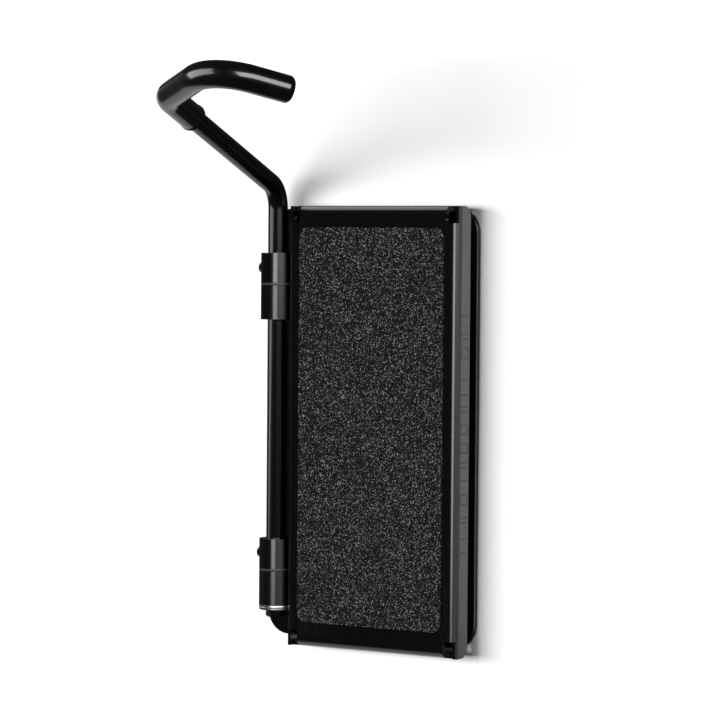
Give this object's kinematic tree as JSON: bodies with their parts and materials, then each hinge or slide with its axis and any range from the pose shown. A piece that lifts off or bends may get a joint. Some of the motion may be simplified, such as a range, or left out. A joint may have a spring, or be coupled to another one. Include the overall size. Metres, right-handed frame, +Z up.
{
  "type": "bicycle wall rack",
  "caption": "Swinging wall rack for one bicycle: a bushed wall plate, a folded front panel with a grit pad for the tyre, and a bent rod hook with a rubber sleeve for the rim.",
  "frame": {"origin": "on the wall face of the wall plate, in the plane of the hung wheel, at the wall plate's mid height", "axes": "+X right along the wall, +Y into the wall, +Z up; the rack's front faces -Y"},
  "size_m": [0.0973, 0.1307, 0.2293],
  "materials": {
    "powder_coat": "satin black powder coat",
    "gloss_coat": "gloss black powder coat",
    "rod_coat": "semi-gloss black powder coat",
    "nylon": "matt black nylon",
    "bumper_rubber": "matt black rubber",
    "sleeve_rubber": "smooth glossy black rubber",
    "grit": "coarse black abrasive grit",
    "adhesive": "thin adhesive film",
    "black_oxide": "black oxide steel",
    "spring_steel": "phosphated spring steel",
    "zinc": "bright zinc plated steel"
  },
  "bodies": {
    "wall_side": {"wall_plate": "powder_coat", "upper_wall_lug": "powder_coat", "lower_wall_lug": "powder_coat", "upper_bush": "nylon", "lower_bush": "nylon", "upper_thrust_washer": "nylon", "lower_thrust_washer": "nylon", "upper_bumper": "bumper_rubber", "lower_bumper": "bumper_rubber"},
    "swing": {"front_panel": "gloss_coat", "upper_panel_lug": "gloss_coat", "lower_panel_lug": "gloss_coat", "upper_grub_screw": "black_oxide", "lower_grub_screw": "black_oxide", "hook_rod": "rod_coat", "hook_sleeve": "sleeve_rubber", "sleeve_collar": "sleeve_rubber", "pad_adhesive": "adhesive", "grip_pad": "grit", "retaining_washer": "zinc", "retaining_clip": "spring_steel"}
  },
  "joints": [
    {"name": "panel_swing", "type": "hinge", "parent": "wall_side", "child": "swing", "pos_m": [-0.047, -0.0105, 0], "axis": [0, 0, -1], "range_deg": [0, 90]}
  ]
}
